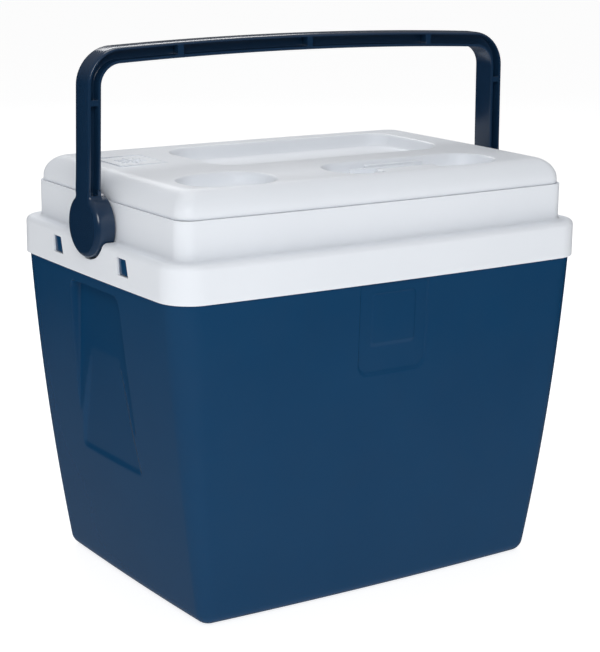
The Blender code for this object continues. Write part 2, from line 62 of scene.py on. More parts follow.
COLLAR_LOW, COLLAR_HIGH = box_mm("collar")
SHELL_HIGH = box_mm("outer_shell")[1]
LID_HIGH = box_mm("lid_cover")[1]
HANDLE_LOW, HANDLE_HIGH = box_mm("handle")
LINER_LOW, LINER_HIGH = box_mm("inner_liner")
BASE_LOW, BASE_HIGH = box_mm("lid_base")

# Plan of the collar's lower band: how far its sides bow, and its half sizes at the corners.
BOW_X, BOW_Y = 2.0, 3.9
HALF_X = COLLAR_HIGH[0] - BOW_X
HALF_Y = COLLAR_HIGH[1] - BOW_Y
BAND_CORNER = 29.0
ARC = 14

# Collar section. LIP is the rounding on each side of the seam under the lid.
COLLAR_BOTTOM, COLLAR_TOP = COLLAR_LOW[2], COLLAR_HIGH[2]
LEDGE_TOP = COLLAR_BOTTOM + 35.0
LEDGE_ROUND = 5.0
LEDGE_FILLET = 2.6
UPPER_INSET, UPPER_EXTRA_Y, UPPER_CORNER = 14.0, 1.5, 14.4
COLLAR_WALL, SKIRT_WALL = 2.5, 2.4
EDGE = 0.7
LIP = 0.2
SHELF_TOP, SHELF_INSET, SHELF_CORNER = COLLAR_TOP - 3.7, 26.0, 25.0
WINDOW_Y, WINDOW_Z = 62.3, COLLAR_BOTTOM + 19.5
WINDOW_HALF_Y, WINDOW_HALF_Z = 8.5, 7.8
WINDOW_LEAN_FAR, WINDOW_LEAN_NEAR = 0.8, 2.2
WINDOW_CUT = (219.0, 236.0)
LUG_SINK, LUG_RISE, LUG_GAP = 1.5, 1.8, 0.4
TAB_HALF, TAB_INNER, TAB_OUTER = 10.0, 2.6, 0.1

# Round pockets for the handle's hubs: (radius, distance from the middle plane) about the pivot.
HUB_CUP = ((0, 214.0), (32.2, 214.0), (32.2, 240.0), (0, 240.0))
HUB_POCKET = ((0, 216.4), (30.4, 216.4), (30.4, 228.8), (31.4, 230.4), (31.4, 246.0), (0, 246.0))
CUP_SINK = 0.3

# Outer shell.
SHELL_TOP = COLLAR_BOTTOM + 13.0
SHELL_INSET = 3.3
TAPER_X, TAPER_Y, WALL_BULGE = 36.8, 18.7, 3.2
SHELL_CORNER_TOP, SHELL_CORNER_BOTTOM = 26.0, 12.0
BASE_ROUND = 11.0
SHELL_WALL = 2.5
INNER_GROW = 4.0
# The underside's panel: (inset past the foot's rounding, height).
PANEL_STEPS = ((30, 1.3), (8.0, 1.3), (6.5, 1.0), (5.5, 0.0))

# Side grip pocket: an upright back, and below it a ramp that runs out to the wall.
POCKET_TOP, POCKET_HALF_TOP = 292.4, 46.8
POCKET_SPREAD = 0.069
POCKET_CORNER, POCKET_SOFT = 9.0, 1.8
POCKET_BACK, POCKET_BACK_Z, POCKET_BACK_LEAN = 213.0, 181.0, 0.0207
RAMP_FOOT_Z, RAMP_FOOT, RAMP_LEAN = 124.0, 207.1, 0.0653
RAMP_HALF, RAMP_SPREAD, RAMP_SOFT = 60.5, 0.262, 7.0

# Front label recess with a blank raised plate.
LABEL_HALF, LABEL_LOW, LABEL_DEPTH, LABEL_CORNER, LABEL_SOFT = 38.4, 217.0, 1.2, 12.0, 1.4
PLATE_HALF, PLATE_LOW, PLATE_HIGH, PLATE_RISE = 25.0, 244.0, 293.0, 0.7

# Liner: half sizes at its floor, and how much they grow up to the shelf.
LINER_HALF, LINER_SPREAD, LINER_CORNER = (171.5, 113.5), (29.9, 11.5), 24.0
LINER_WALL, LINER_FOOT_ROUND, LINER_LIP_ROUND = 2.0, 10.0, 2.4

# Lid cover.
SEAM = 0.1
LID_BOTTOM = COLLAR_TOP + SEAM
LID_CROWN = 1.2
LID_TOP = LID_HIGH[2] - LID_CROWN
LID_INSET = 1.9
LID_ROUND = 20.0
LID_WALL = 2.5
INNER_RECESS_GROW = 5.0
# Points along the lid's straight sides, and how far apart its rings are.
LID_COUNTS, LID_STEP = (208, 128), 1.3

# The lid's recesses in plan: centre, half sizes, corner radius and width of the wall's slope.
RECESS_DEPTH = 12.0
TRAY_CENTRE, TRAY_HALF, TRAY_SLOPE = (30.0, 37.5), (136.5, 64.5), 9.0
TRAY_NEAR_LEFT, TRAY_NEAR_RIGHT, TRAY_FAR_LEFT, TRAY_FAR_RIGHT = 24.0, 50.0, 44.0, 24.0
CUP = ((-138.5, -88.0), (46.5, 33.5), 32.5, 6.0)
FRONT_RECESS = ((62.0, -89.0), (93.5, 30.5), 29.0, 6.0)
FRONT_TAB = ((56.0, -115.0), (36.0, 30.0), 3.0, 4.0)
FRONT_TAB_RISE = 0.86
# Ribs behind the tab: (left end, right end, y, height over the recess's floor).
FRONT_RIBS = ((6.0, 82.0, -70.5, 7.8), (26.0, 94.0, -66.0, 9.8))
FRONT_RIB_HALF = 1.2
EMBLEM_CENTRE, EMBLEM_HALF = (-160.0, 48.0), (24.0, 27.0)

# Lid base: the plug's half sizes, and the height of its flange over its underside.
PLUG_HALF_X, PLUG_HALF_Y, PLUG_CORNER, PLUG_DRAFT, PLUG_HEIGHT = 197.4, 121.0, 21.0, 1.9, 20.1
PLUG_ROUND = 4.0
# The plug's sunk middle: (inset, height over the underside).
PLUG_MIDDLE = ((40.0, 1.6), (17.0, 1.6), (15.2, 1.2), (13.5, 0.0))

# Handle.
PIVOT_Z = HANDLE_LOW[2] + 29.0
HUB_RADIUS, HUB_INNER, HUB_OUTER = 29.0, 217.2, HANDLE_HIGH[0]
HUB_ROUND, ARM_ROUND = 5.0, 1.3
ARM_THICK, ARM_HALF_Y, ARM_SPLAY = 13.1, 12.5, 2.7
BAR_CROWN = 4.8
BAR_TOP = HANDLE_HIGH[2] - BAR_CROWN
BAR_THICK = 14.5
DOME_FALL, DOME_RUN = 2.2, 5.5
BEND_OUTER, BEND_INNER = 33.6, 20.0
FLANGE, WEB_HALF = 2.8, 2.8
NECK_FILLET, NECK_TOP = 6.0, 33.0
CHANNEL_LOW = 378.0
RIB_SINK = 0.3
BAR_HALF = 200.0
BAR_RIBS, BAR_RIB_HALF, BAR_RIB_FILLET = (-140.0, 0.0, 140.0), 3.1, 1.3
ARM_RIB_Z, ARM_RIB_HALF, ARM_RIB_FILLET = 460.2, 2.7, 1.6


# -------------------------------------------------------------------------------------------------
# Mesh helpers
# -------------------------------------------------------------------------------------------------


def skin(rings, closed=False):
    """Points and faces of a loft through equal rings, capped unless it closes on itself."""
    rows = np.array(rings, float)
    count, length = rows.shape[:2]
    index = np.arange(count * length).reshape(count, length)
    low, high = (index, np.roll(index, -1, 0)) if closed else (index[:-1], index[1:])
    quads = np.stack([low, np.roll(low, -1, 1), np.roll(high, -1, 1), high], -1).reshape(-1, 4)
    faces = quads.tolist()
    if not closed:
        faces += [index[0][::-1].tolist(), index[-1].tolist()]
    return rows.reshape(-1, 3), faces


def shade(mesh, sharp):
    bm = bmesh.new()
    bm.from_mesh(mesh)
    bmesh.ops.recalc_face_normals(bm, faces=bm.faces)
    bm.to_mesh(mesh)
    bm.free()
    mesh.shade_smooth()
    mesh.set_sharp_from_angle(angle=math.radians(sharp))


def make(name, points, faces, material, sharp=32):
    mesh = bpy.data.meshes.new(name)
    mesh.from_pydata((np.asarray(points) * MM).tolist(), [], faces)
    shade(mesh, sharp)
    mesh.materials.append(material)
    obj = bpy.data.objects.new(name, mesh)
    bpy.context.scene.collection.objects.link(obj)
    return obj


def place(obj, body, slot, *nodes):
    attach(obj, body)
    if nodes:
        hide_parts(*nodes)
    return obj


def joined(shells):
    """Several (points, faces) pairs as one."""
    points, faces, start = [], [], 0
    for some_points, some_faces in shells:
        points.append(np.asarray(some_points))
        faces += [[start + k for k in face] for face in some_faces]
        start += len(some_points)
    return np.concatenate(points), faces


def apply_booleans(obj, steps, sharp=32):
    """Runs the (operation, other object) steps into the object's mesh, and removes the others."""
    for operation, other in steps:
        modifier = obj.modifiers.new(operation, "BOOLEAN")
        modifier.operation = operation
        modifier.object = other
        modifier.solver = "EXACT"
    graph = bpy.context.evaluated_depsgraph_get()
    made = bpy.data.meshes.new_from_object(obj.evaluated_get(graph))
    obj.modifiers.clear()
    obj.data = made
    for _, other in steps:
        bpy.data.objects.remove(other)
    shade(made, sharp)


def soft_step(distance, width):
    t = np.clip(distance / width, 0, 1)
    return t * t * (3 - 2 * t)


def slope_step(distance, width, top=0.22, foot=0.35):
    """A straight slope from 0 to 1 over the width, rounded over its top and foot shares."""
    t = np.clip(distance / width, 0, 1)
    whole = 1 - (top + foot) / 2
    start = np.minimum(t, top) ** 2 / (2 * top)
    straight = np.clip(t - top, 0, 1 - top - foot)
    left = np.clip(t - (1 - foot), 0, foot)
    return (start + straight + left - left**2 / (2 * foot)) / whole


def inside(to_side, to_end, corner):
    """Distance inwards from an outline, from the distances to its two nearest edges."""
    return corner - np.hypot(np.maximum(corner - to_side, 0), np.maximum(corner - to_end, 0))


def plan(half_x, half_y, radius, xs, ys, bow_x=BOW_X, bow_y=BOW_Y):
    """A bowed rounded rectangle, counter-clockwise. Its straight sides have points at xs and ys."""
    turn = np.linspace(0, np.pi / 2, ARC + 1)
    c, s = radius * np.cos(turn), radius * np.sin(turn)
    cx, cy = half_x - radius, half_y - radius
    runs = (
        (np.full(len(ys), half_x), ys),
        (cx + c, cy + s),
        (xs[::-1], np.full(len(xs), half_y)),
        (-cx - s, cy + c),
        (np.full(len(ys), -half_x), ys[::-1]),
        (-cx - c, -cy - s),
        (xs, np.full(len(xs), -half_y)),
        (cx + s, -cy - c),
    )
    x = np.concatenate([run[0] for run in runs])
    y = np.concatenate([run[1] for run in runs])
    grow_x = 1 + bow_x / half_x * (1 - (y / half_y) ** 2)
    grow_y = 1 + bow_y / half_y * (1 - (x / half_x) ** 2)
    return x * grow_x, y * grow_y


def even(length, count):
    """count points spread evenly inside a straight run from -length to length."""
    return np.linspace(-length, length, count + 2)[1:-1]


def ring(half_x, half_y, radius, z, counts=(60, 44), bow_x=BOW_X, bow_y=BOW_Y):
    """A plan at height z, with counts points along its straight sides."""
    xs, ys = even(half_x - radius, counts[0]), even(half_y - radius, counts[1])
    x, y = plan(half_x, half_y, radius, xs, ys, bow_x, bow_y)
    return np.stack([x, y, np.full(len(x), z)], -1)


def arc(centre_a, centre_b, radius, start, end, steps):
    """(a, b) points on an arc, with angles in degrees."""
    angles = np.radians(np.linspace(start, end, steps + 1))
    return [(centre_a + radius * math.cos(t), centre_b + radius * math.sin(t)) for t in angles]


# -------------------------------------------------------------------------------------------------
# Materials
# -------------------------------------------------------------------------------------------------


class Nodes:
    """Short calls for a material's node tree."""

    def __init__(self, name):
        self.material = bpy.data.materials.new(name)
        self.material.use_nodes = True
        self.tree = self.material.node_tree
        self.shader = self.tree.nodes["Principled BSDF"]

    def add(self, kind, **values):
        node = self.tree.nodes.new(kind)
        for key, value in values.items():
            if key in node.inputs:
                node.inputs[key].default_value = value
            else:
                setattr(node, key, value)
        return node

    def link(self, output, target):
        self.tree.links.new(output, target)

    def noise(self, scale, detail=2.0, roughness=0.5):
        where = self.add("ShaderNodeTexCoord")
        node = self.add("ShaderNodeTexNoise", Scale=scale, Detail=detail, Roughness=roughness)
        self.link(where.outputs["Object"], node.inputs["Vector"])
        return node.outputs["Fac"]

    def spread(self, source, low, high):
        """Maps a noise's middle range to low .. high."""
        limits = {"From Min": 0.3, "From Max": 0.7, "To Min": low, "To Max": high}
        node = self.add("ShaderNodeMapRange", **limits)
        self.link(source, node.inputs["Value"])
        return node.outputs["Result"]


def moulded(name, dark, light, rough, grain, grain_size, waves=0.0, specular=0.5):
    """Moulded plastic: faint mottling, uneven gloss, a fine grain and very slight sink waves."""
    n = Nodes(name)
    sockets = n.shader.inputs
    flow = n.noise(9.0, 3.0, 0.55)
    mix = n.add("ShaderNodeMix", data_type="RGBA")
    mix.inputs[6].default_value = (*dark, 1)
    mix.inputs[7].default_value = (*light, 1)
    n.link(n.spread(flow, 0.0, 1.0), mix.inputs[0])
    n.link(mix.outputs[2], sockets["Base Color"])
    gloss = n.spread(n.noise(28.0, 4.0, 0.6), rough - 0.025, rough + 0.025)
    n.link(gloss, sockets["Roughness"])
    fine = n.add("ShaderNodeBump", Strength=grain, Distance=0.0002)
    n.link(n.noise(1.0 / grain_size, 2.0), fine.inputs["Height"])
    if waves:
        broad = n.add("ShaderNodeBump", Strength=waves, Distance=0.002)
        n.link(n.noise(14.0, 1.0), broad.inputs["Height"])
        n.link(broad.outputs["Normal"], fine.inputs["Normal"])
    n.link(fine.outputs["Normal"], sockets["Normal"])
    sockets["Specular IOR Level"].default_value = specular
    return n.material


def foam_material():
    """Bead foam: rounded cells a few millimetres across, matt."""
    n = Nodes("bead_foam")
    where = n.add("ShaderNodeTexCoord")
    cells = n.add("ShaderNodeTexVoronoi", Scale=280.0)
    n.link(where.outputs["Object"], cells.inputs["Vector"])
    mix = n.add("ShaderNodeMix", data_type="RGBA")
    mix.inputs[6].default_value = (0.86, 0.86, 0.84, 1)
    mix.inputs[7].default_value = (0.70, 0.70, 0.68, 1)
    n.link(cells.outputs["Distance"], mix.inputs[0])
    n.link(mix.outputs[2], n.shader.inputs["Base Color"])
    bump = n.add("ShaderNodeBump", Strength=0.5, Distance=0.0008, invert=True)
    n.link(cells.outputs["Distance"], bump.inputs["Height"])
    n.link(bump.outputs["Normal"], n.shader.inputs["Normal"])
    n.shader.inputs["Roughness"].default_value = 0.9
    return n.material


BLUE = moulded(
    "moulded_blue",
    dark=(0.0036, 0.0460, 0.1220),
    light=(0.0044, 0.0495, 0.1290),
    rough=0.21,
    grain=0.014,
    grain_size=0.0016,
)
NAVY = moulded(
    "moulded_navy",
    dark=(0.0060, 0.0240, 0.0580),
    light=(0.0072, 0.0275, 0.0650),
    rough=0.20,
    grain=0.07,
    grain_size=0.0010,
    waves=0.04,
)
WHITE = moulded(
    "moulded_white",
    dark=(0.820, 0.850, 0.895),
    light=(0.840, 0.870, 0.915),
    rough=0.36,
    grain=0.04,
    grain_size=0.0011,
    waves=0.04,
    specular=0.22,
)
LINER_WHITE = moulded(
    "moulded_liner",
    dark=(0.76, 0.78, 0.80),
    light=(0.79, 0.81, 0.83),
    rough=0.45,
    grain=0.10,
    grain_size=0.0013,
    waves=0.05,
    specular=0.4,
)
FOAM = foam_material()


# -------------------------------------------------------------------------------------------------
# Outer shell
# -------------------------------------------------------------------------------------------------


def shell_half(z, inset=0.0):
    """(half x, half y, corner radius) of the shell at height z."""
    drop = max(0.0, 1 - z / COLLAR_BOTTOM)
    belly = 4 * WALL_BULGE * drop * (1 - drop)
    half_x = HALF_X - SHELL_INSET - TAPER_X * drop + belly - inset
    half_y = HALF_Y - SHELL_INSET - TAPER_Y * drop + belly - inset
    corner = SHELL_CORNER_TOP + (SHELL_CORNER_BOTTOM - SHELL_CORNER_TOP) * drop - inset
    return half_x, half_y, max(corner, 3.0)


def pocket_edge(z):
    return POCKET_HALF_TOP + POCKET_SPREAD * (POCKET_TOP - z)


def pocket_depth(y, z, wall_x, grow=0.0):
    """How far a point of a short side, whose wall is wall_x from the middle, is pressed in."""
    to_top = POCKET_TOP + grow - z
    over_foot = z - RAMP_FOOT_Z
    side = pocket_edge(z) + grow - np.abs(y)
    back = POCKET_BACK + POCKET_BACK_LEAN * (z - POCKET_BACK_Z)
    deep = (wall_x - back) * soft_step(inside(side, to_top, POCKET_CORNER), POCKET_SOFT)
    ramp_side = RAMP_HALF - RAMP_SPREAD * over_foot + grow - np.abs(y)
    ramp_in = np.minimum(inside(ramp_side, over_foot + grow, POCKET_CORNER), to_top)
    ramp = (wall_x - RAMP_FOOT - RAMP_LEAN * over_foot) * soft_step(ramp_in, RAMP_SOFT)
    return np.maximum(np.maximum(deep, ramp), 0.0)


def label_depth(x, z):
    """How far a point of the front is pressed in by the label recess, less its blank plate."""
    recess = soft_step(inside(LABEL_HALF - np.abs(x), z - LABEL_LOW, LABEL_CORNER), LABEL_SOFT)
    to_end = min(z - PLATE_LOW, PLATE_HIGH - z)
    plate = soft_step(inside(PLATE_HALF - np.abs(x), to_end, 4.0), LABEL_SOFT)
    return LABEL_DEPTH * recess - PLATE_RISE * plate


def side_columns(straight, edge):
    """Points along a short side, close together on both sides of the pocket's edge."""
    near = np.array([0, 0.5, 1.0, 1.5, 2.0, 2.5, 3.2, 4.2, 5.5, 7.0, 9.0, 11.5, 15.0])
    middle = np.linspace(0, edge - near[-1], 16)[:-1]
    beyond = np.linspace(edge + near[8], straight, 9)[1:-1]
    half = np.concatenate([middle, (edge - near)[::-1], edge + near[1:9], beyond])
    return np.concatenate([-half[:0:-1], half])


def front_columns(straight):
    """Points along a long side, close together where the label recess is."""
    near = np.arange(0, LABEL_HALF + 4, 0.8)
    half = np.concatenate([near, np.linspace(near[-1], straight, 16)[1:-1]])
    return np.concatenate([-half[:0:-1], half])


def shell_ring(z, inset=0.0, grow=None, height=None):
    """The shell's plan at z, laid at height or else at z. grow widens the pockets inside."""
    half_x, half_y, corner = shell_half(z, inset)
    edge = min(pocket_edge(z), half_y - corner - 25.0)
    xs, ys = front_columns(half_x - corner), side_columns(half_y - corner, edge)
    x, y = plan(half_x, half_y, corner, xs, ys)
    on_side = np.abs(x) > half_x - corner * 0.2
    depth = pocket_depth(y, z, np.abs(x) + inset, grow or 0.0)
    x = np.where(on_side, x - np.sign(x) * depth, x)
    if grow is None:
        on_front = (y < -(half_y - corner * 0.2)) & (np.abs(x) < LABEL_HALF + 5)
        y = np.where(on_front, y + label_depth(x, z), y)
    return np.stack([x, y, np.full(len(x), z if height is None else height)], -1)


def foot_rings():
    """The rounded foot, from the underside outwards and up."""
    turns = np.linspace(math.pi / 2, 0, 10)
    gaps = [(1 - math.sin(t), 1 - math.cos(t)) for t in turns]
    return [shell_ring(BASE_ROUND * low, BASE_ROUND * inset) for low, inset in gaps]


def make_shell():
    panel = [shell_ring(0.0, BASE_ROUND + step, height=height) for step, height in PANEL_STEPS]
    # Rows lie close together over the grip pocket, and closest at its top edge.
    below, above = RAMP_FOOT_Z - 6.0, POCKET_TOP + 4.6
    heights = np.concatenate(
        [
            np.linspace(BASE_ROUND + 8, below, 12),
            np.arange(below + 1.5, above - 11.0, 1.6),
            np.arange(above - 11.0, above - 1.0, 0.55),
            np.linspace(above, SHELL_TOP, 8),
        ]
    )
    outside = panel + foot_rings() + [shell_ring(z) for z in heights]
    inner_heights = np.concatenate([heights[:12:3], heights[12:-8:7], heights[-8:]])[::-1]
    inside_skin = [shell_ring(z, SHELL_WALL, INNER_GROW) for z in inner_heights]
    inside_skin.append(shell_ring(SHELL_WALL + 6, SHELL_WALL + 2.0, INNER_GROW))
    inside_skin.append(shell_ring(SHELL_WALL, SHELL_WALL + 9.0, INNER_GROW))
    shell = make("shell", *skin(outside + inside_skin), BLUE, 40)
    place(shell, "tub", "shell_blue", "outer_shell")


def rounded_block(name, low, high, bevel, material):
    """A box with rounded edges."""
    bm = bmesh.new()
    bmesh.ops.create_cube(bm, size=1.0)
    for vert in bm.verts:
        vert.co = [low[i] + (vert.co[i] + 0.5) * (high[i] - low[i]) for i in range(3)]
    bmesh.ops.bevel(
        bm, geom=bm.edges[:], offset=bevel, segments=3, profile=0.5, affect="EDGES"
    )
    points = [tuple(vert.co) for vert in bm.verts]
    faces = [[vert.index for vert in face.verts] for face in bm.faces]
    bm.free()
    return make(name, points, faces, material, 40)


def window_block(name, xs, end, grow, material):
    """A block with the outline of a clip window, which narrows downwards and leans."""
    half_y, half_z = WINDOW_HALF_Y + grow, WINDOW_HALF_Z + grow
    low = (xs[0], end * WINDOW_Y - half_y, WINDOW_Z - half_z)
    high = (xs[1], end * WINDOW_Y + half_y, WINDOW_Z + half_z)
    block = rounded_block(name, low, high, 0.9, material)
    for vert in block.data.vertices:
        down = (WINDOW_Z - vert.co.z / MM) / WINDOW_HALF_Z
        shift = WINDOW_LEAN_FAR if vert.co.y / MM > end * WINDOW_Y else WINDOW_LEAN_NEAR
        vert.co.y -= shift * (down + 0.4) * MM
    return block


def make_clips():
    """Behind each window, a lug and the flat tab of the shell that carries it."""
    face = HALF_X + BOW_X * (1 - (WINDOW_Y / HALF_Y) ** 2) - SHELL_INSET
    for side, word in SIDES:
        for end, end_word in ((1, "rear"), (-1, "front")):
            xs = sorted((side * (face - LUG_SINK), side * (face + LUG_RISE)))
            lug = window_block(f"clip_lug_{word}_{end_word}", xs, end, -LUG_GAP, BLUE)
            place(lug, "tub", "shell_blue")
            xs = sorted((side * (face - TAB_INNER), side * (face - TAB_OUTER)))
            low = (xs[0], end * WINDOW_Y - TAB_HALF, SHELL_TOP - 6.0)
            high = (xs[1], end * WINDOW_Y + TAB_HALF, SHELL_HIGH[2] - 2.0)
            tab = rounded_block(f"clip_tab_{word}_{end_word}", low, high, 0.6, BLUE)
            place(tab, "tub", "shell_blue")


# -------------------------------------------------------------------------------------------------
# Collar
# -------------------------------------------------------------------------------------------------


def collar_ring(inset, z, radius):
    extra = UPPER_EXTRA_Y * min(1.0, max(inset, 0) / UPPER_INSET)
    return ring(HALF_X - inset, HALF_Y - inset - extra, radius, z)


def band_corner(inset):
    """The collar's plan corner at an inset: large on the lower band, small on the upper one."""
    share = min(1.0, max(0.0, inset / UPPER_INSET))
    return BAND_CORNER + (UPPER_CORNER - BAND_CORNER) * share


def collar_outer_rows():
    rows = [(EDGE, COLLAR_BOTTOM), (0.2, COLLAR_BOTTOM + 0.2), (0.0, COLLAR_BOTTOM + EDGE)]
    rows += [(0.0, z) for z in np.linspace(COLLAR_BOTTOM + 5, LEDGE_TOP - LEDGE_ROUND - 1, 5)]
    rows += arc(LEDGE_ROUND, LEDGE_TOP - LEDGE_ROUND, LEDGE_ROUND, 180, 90, 9)
    rows += arc(UPPER_INSET - LEDGE_FILLET, LEDGE_TOP + LEDGE_FILLET, LEDGE_FILLET, -90, 0, 7)
    rows += [(UPPER_INSET, z) for z in np.linspace(LEDGE_TOP + 8, COLLAR_TOP - 4, 4)]
    rows += arc(UPPER_INSET + LIP, COLLAR_TOP - LIP, LIP, 180, 90, 3)
    return rows


def collar_inner_rows():
    wall = UPPER_INSET + COLLAR_WALL
    under = LEDGE_TOP - SKIRT_WALL
    rows = arc(wall - EDGE, COLLAR_TOP - EDGE, EDGE, 90, 0, 3)
    rows += [(wall, SHELF_TOP), (SHELF_INSET, SHELF_TOP), (SHELF_INSET, SHELF_TOP - COLLAR_WALL)]
    rows += [(wall, SHELF_TOP - COLLAR_WALL), (wall, under)]
    return rows + [(SKIRT_WALL, under), (SKIRT_WALL, COLLAR_BOTTOM)]


def inner_corner(inset):
    if inset >= SHELF_INSET:
        return SHELF_CORNER
    return max(band_corner(min(inset, UPPER_INSET)) - max(0.0, inset - UPPER_INSET), 8.0)


def turned(name, profile, side, material, steps=96):
    """A solid turned about the pivot axis, from (radius, x) pairs that begin and end on it."""
    angles = np.linspace(0, 2 * math.pi, steps, endpoint=False)
    rings = []
    for radius, x in profile:
        r = max(radius, 0.001)
        y, z = r * np.cos(angles), PIVOT_Z + r * np.sin(angles)
        rings.append(np.stack([np.full(steps, side * x), y, z], -1))
    return make(name, *skin(rings), material)


def make_collar():
    outer, inner = collar_outer_rows(), collar_inner_rows()
    rings = [collar_ring(inset, z, band_corner(inset)) for inset, z in outer]
    rings += [collar_ring(inset, z, inner_corner(inset)) for inset, z in inner]
    collar = make("collar_shell", *skin(rings, closed=True), WHITE)
    sunk = []
    for inset, z in outer:
        lower = CUP_SINK if z > LEDGE_TOP else 0.0
        sunk.append(collar_ring(inset + CUP_SINK, z - lower, band_corner(inset)))
    steps = []
    for side, _ in SIDES:
        cup = turned("cup", HUB_CUP, side, WHITE)
        apply_booleans(cup, [("INTERSECT", make("envelope", *skin(sunk), WHITE))])
        steps += [("UNION", cup), ("DIFFERENCE", turned("pocket", HUB_POCKET, side, WHITE))]
    for side, _ in SIDES:
        xs = sorted(side * x for x in WINDOW_CUT)
        for end in (1, -1):
            steps.append(("DIFFERENCE", window_block("window", xs, end, 0.0, WHITE)))
    apply_booleans(collar, steps)
    place(collar, "tub", "collar_white", "collar")


# -------------------------------------------------------------------------------------------------
# Inner liner
# -------------------------------------------------------------------------------------------------


def liner_ring(z, inset, radius=None):
    """The liner's walls lean in towards the floor."""
    t = (z - LINER_LOW[2]) / (SHELF_TOP - LINER_LOW[2])
    half_x, half_y = (half + grow * t - inset for half, grow in zip(LINER_HALF, LINER_SPREAD))
    corner = LINER_CORNER - inset if radius is None else radius
    return ring(half_x, half_y, corner, z, bow_x=0, bow_y=0)


def make_liner():
    flange_in = UPPER_INSET + COLLAR_WALL + 0.5
    flange_corner = UPPER_CORNER - COLLAR_WALL
    flange_low, top = SHELF_TOP + 0.3, LINER_HIGH[2]
    low, floor = LINER_LOW[2], LINER_LOW[2] + LINER_WALL
    rings = [liner_ring(low, 4.0, 20.0), liner_ring(low + 4.0, 0.0), liner_ring(flange_low, 0.0)]
    rings.append(collar_ring(flange_in, flange_low, flange_corner))
    rings.append(collar_ring(flange_in, top - 0.6, flange_corner))
    rings.append(collar_ring(flange_in + 0.6, top, flange_corner))
    lip, foot = LINER_LIP_ROUND, LINER_FOOT_ROUND
    for inset, z in arc(LINER_WALL - lip, top - lip, lip, 90, 0, 6):
        rings.append(liner_ring(z, inset))
    rings += [liner_ring(z, LINER_WALL) for z in np.linspace(top - 12, floor + 16, 6)]
    for inset, z in arc(LINER_WALL + foot, floor + foot, foot, 180, 270, 10):
        rings.append(liner_ring(z, inset))
    rings.append(liner_ring(floor, 24.0, 6.0))
    liner = make("liner_tub", *skin(rings), LINER_WHITE, 50)
    place(liner, "tub", "liner_white", "inner_liner")


# -------------------------------------------------------------------------------------------------
# Lid
# -------------------------------------------------------------------------------------------------


def rounded_recess(x, y, centre, half, corner, soft, grow=0.0):
    """1 on the floor of a rounded recess, 0 outside it."""
    to_side = half[0] + grow - np.abs(x - centre[0])
    to_end = half[1] + grow - np.abs(y - centre[1])
    return slope_step(inside(to_side, to_end, corner), soft)


def lid_drop(x, y, grow=0.0):
    """How deep the recesses press the lid's top in at (x, y)."""
    left = x < TRAY_CENTRE[0]
    near = np.where(left, TRAY_NEAR_LEFT, TRAY_NEAR_RIGHT)
    far = np.where(left, TRAY_FAR_LEFT, TRAY_FAR_RIGHT)
    tray_corner = np.where(y < TRAY_CENTRE[1], near, far)
    tray = rounded_recess(x, y, TRAY_CENTRE, TRAY_HALF, tray_corner, TRAY_SLOPE, grow)
    front = rounded_recess(x, y, *FRONT_RECESS, grow)
    front = front - FRONT_TAB_RISE * rounded_recess(x, y, *FRONT_TAB, -grow) * front
    return RECESS_DEPTH * np.maximum(np.maximum(tray, rounded_recess(x, y, *CUP, grow)), front)


def lid_ring(inset, z, drop=False, grow=0.0):
    base = UPPER_INSET + LID_INSET + inset
    half_x, half_y = HALF_X - base, HALF_Y - base - UPPER_EXTRA_Y
    corner = min(max(UPPER_CORNER - 0.3 * inset, 5.0), half_y - 0.4)
    points = ring(half_x, half_y, corner, z, LID_COUNTS)
    if drop:
        points[:, 2] -= lid_drop(points[:, 0], points[:, 1], grow)
    return points


def crown(inset):
    return LID_CROWN * soft_step(inset - LID_ROUND, 90.0)


def make_lid_cover():
    rings = [lid_ring(LID_WALL, LID_BOTTOM), lid_ring(LIP, LID_BOTTOM)]
    rings += [lid_ring(0.1, LID_BOTTOM + 0.1), lid_ring(0.0, LID_BOTTOM + LIP)]
    centre = LID_TOP - LID_ROUND
    for inset, z in arc(LID_ROUND, centre, LID_ROUND, 180, 90, 18):
        rings.append(lid_ring(inset, z, True))
    deepest = HALF_Y - UPPER_INSET - UPPER_EXTRA_Y - LID_INSET - 0.8
    for inset in np.arange(LID_ROUND + LID_STEP, deepest, LID_STEP):
        rings.append(lid_ring(inset, LID_TOP + crown(inset), True))
    inner = [lid_ring(LID_WALL, z) for z in (LID_BOTTOM + 1.5, centre)]
    for inset, z in arc(LID_ROUND, centre, LID_ROUND - LID_WALL, 180, 90, 5)[1:]:
        inner.append(lid_ring(inset, z, True, INNER_RECESS_GROW))
    for inset in np.arange(LID_ROUND + 6, deepest, 5 * LID_STEP):
        inner.append(lid_ring(inset, LID_TOP - LID_WALL, True, INNER_RECESS_GROW))
    cover = make("lid_top", *skin(inner[::-1] + rings), WHITE, 60)
    place(cover, "lid", "lid_white", "lid_cover")


def make_lid_ribs():
    floor = LID_TOP - RECESS_DEPTH
    for number, (left, right, y, height) in enumerate(FRONT_RIBS):
        low = (left, y - FRONT_RIB_HALF, floor - 0.6)
        high = (right, y + FRONT_RIB_HALF, floor + height)
        piece = rounded_block(f"lid_rib_{number + 1}", low, high, 0.9, WHITE)
        place(piece, "lid", "lid_white")


def bar_along(start, end, width, low, high):
    """A flat bar from start to end in plan, as points and faces, with chamfered upper edges."""
    start, end = np.array(start, float), np.array(end, float)
    along = (end - start) / np.linalg.norm(end - start)
    across = np.array([-along[1], along[0]]) * width / 2
    rings = []
    for trim, z in ((0.0, low), (0.0, high - 0.25), (0.3, high)):
        a, b = start + along * trim, end - along * trim
        side = across * (1 - 2 * trim / width)
        rings.append([(*(a - side), z), (*(b - side), z), (*(b + side), z), (*(a + side), z)])
    return skin(rings)


def direction(degrees):
    return np.array([math.cos(math.radians(degrees)), math.sin(math.radians(degrees))])


